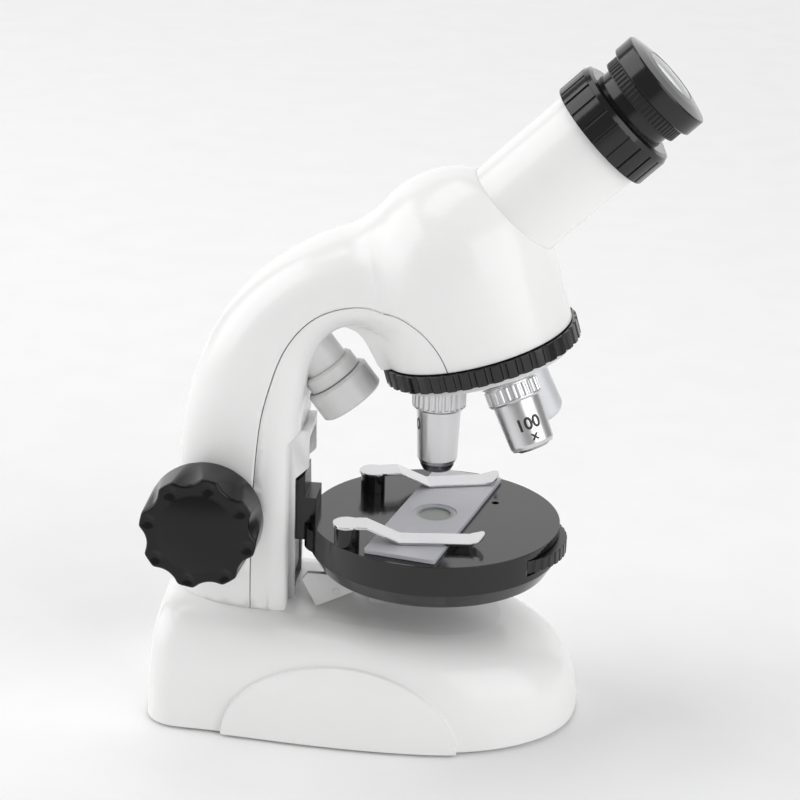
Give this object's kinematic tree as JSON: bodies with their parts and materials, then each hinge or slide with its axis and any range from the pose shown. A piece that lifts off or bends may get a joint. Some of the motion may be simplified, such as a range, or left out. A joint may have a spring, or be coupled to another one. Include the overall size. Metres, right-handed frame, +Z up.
{
  "type": "toy microscope",
  "caption": "Child's upright microscope with an inclined eyepiece, turret of objectives, round stage with clips, side focus knobs and a small lamp.",
  "frame": {"origin": "on the resting surface, under the middle of the bounding box", "axes": "+Z up, +X from the arm towards the eyepiece, +Y to the far side"},
  "size_m": [0.1672, 0.0842, 0.2239],
  "materials": {
    "white_plastic": "glossy",
    "black_plastic": "glossy",
    "black_matte": "satin",
    "grey_plastic": "satin",
    "inner_plastic": "matte",
    "silver_metal": "satin",
    "chrome_metal": "polished",
    "steel": "satin",
    "brass": "satin",
    "rubber": "matte",
    "lens_glass": "clear",
    "slide_plastic": "frosted",
    "mirror_glass": "polished",
    "led_resin": "clear",
    "cell_jacket": "glossy"
  },
  "bodies": {
    "frame": {"base_shell": "white_plastic", "base_cover": "white_plastic", "battery_tray": "inner_plastic", "battery_cells": "cell_jacket", "battery_contacts": "steel", "rubber_feet": "rubber", "case_screws": "steel", "light_mirror_holder": "grey_plastic", "arm_head_shell": "white_plastic", "arm_front_cover": "white_plastic", "shaft_bushes": "inner_plastic", "turret_bearing": "inner_plastic", "turret_pivot_screw": "steel", "eyepiece_tube": "white_plastic", "head_mirror": "mirror_glass", "head_mirror_holder": "inner_plastic", "lamp_stem": "grey_plastic", "lamp_body": "grey_plastic", "lamp_led": "led_resin"},
    "battery_lid": {"battery_lid": "white_plastic", "battery_lid_screw": "steel"},
    "light_mirror": {"light_mirror_frame": "grey_plastic", "light_mirror_glass": "mirror_glass"},
    "turret": {"turret_ring": "black_plastic", "turret_plate": "grey_plastic", "objective_lenses": "lens_glass", "objective_working_collar": "silver_metal", "objective_working_barrel": "silver_metal", "objective_working_tip": "black_matte", "objective_near_collar": "silver_metal", "objective_near_barrel": "silver_metal", "objective_near_tip": "steel", "objective_far_collar": "silver_metal", "objective_far_barrel": "silver_metal", "objective_far_tip": "steel"},
    "tube_collar": {"tube_collar": "black_plastic"},
    "eyepiece": {"draw_tube": "black_plastic", "grip_ring": "black_matte", "eye_cup": "black_plastic", "eye_lens": "lens_glass", "field_lens": "lens_glass"},
    "lamp_head": {"lamp_cap": "grey_plastic", "lamp_lens": "lens_glass"},
    "focus_drive": {"focus_shaft": "steel", "focus_pinion": "brass", "focus_knob_near": "black_plastic", "focus_knob_far": "black_plastic"},
    "stage": {"stage_body": "black_plastic", "stage_floor": "black_matte", "stage_floor_screws": "steel", "wheel_pin": "black_matte", "stage_bracket": "black_matte", "stage_rack": "black_matte", "clip_posts": "black_plastic"},
    "aperture_wheel": {"aperture_wheel": "black_matte"},
    "specimen_slide": {"specimen_slide": "slide_plastic"},
    "clip_near": {"clip_near": "chrome_metal"},
    "clip_far": {"clip_far": "chrome_metal"}
  },
  "joints": [
    {"name": "stage_lift", "type": "slide", "parent": "frame", "child": "stage", "axis": [0, 0, 1], "range_m": [0, 0.008]},
    {"name": "focus_turn", "type": "hinge", "parent": "frame", "child": "focus_drive", "pos_m": [-0.06391, 0, 0.0693], "axis": [0, 1, 0], "range_deg": [-64, 0.5]},
    {"name": "turret_turn", "type": "hinge", "parent": "frame", "child": "turret", "pos_m": [0.02048, 0, 0.1215], "axis": [-0.2823, 0, 0.9593], "continuous": true},
    {"name": "aperture_turn", "type": "hinge", "parent": "stage", "child": "aperture_wheel", "pos_m": [0.02568, -0.0038, 0.0603], "axis": [0, 0, 1], "continuous": true},
    {"name": "slide_shift", "type": "slide", "parent": "stage", "child": "specimen_slide", "axis": [0.2198, 0.9755, 0], "range_m": [-0.012, 0.012]},
    {"name": "clip_near_swing", "type": "hinge", "parent": "stage", "child": "clip_near", "pos_m": [-0.01821, -0.0265, 0.072], "axis": [0, 0, 1], "range_deg": [-25, 35]},
    {"name": "clip_far_swing", "type": "hinge", "parent": "stage", "child": "clip_far", "pos_m": [-0.01521, 0.0185, 0.072], "axis": [0, 0, 1], "range_deg": [-20, 35]},
    {"name": "eyepiece_draw", "type": "slide", "parent": "frame", "child": "eyepiece", "axis": [0.7157, 0, 0.6984], "range_m": [0, 0.015]},
    {"name": "collar_turn", "type": "hinge", "parent": "frame", "child": "tube_collar", "pos_m": [0.06148, 0, 0.2018], "axis": [0.7157, 0, 0.6984], "range_deg": [0, 90]},
    {"name": "lamp_twist", "type": "hinge", "parent": "frame", "child": "lamp_head", "pos_m": [-0.02601, 0, 0.1108], "axis": [0.606, 0, -0.7955], "range_deg": [0, 60]},
    {"name": "light_mirror_tilt", "type": "hinge", "parent": "frame", "child": "light_mirror", "pos_m": [-0.02286, 0, 0.04271], "axis": [0, 1, 0], "range_deg": [-8, 40]},
    {"name": "battery_lid_off", "type": "slide", "parent": "frame", "child": "battery_lid", "axis": [0, 0, -1], "range_m": [0, 0.02]}
  ],
  "couplings": [
    {"joint": "focus_turn", "follows": "stage_lift", "rad_per_m": -138.89}
  ]
}
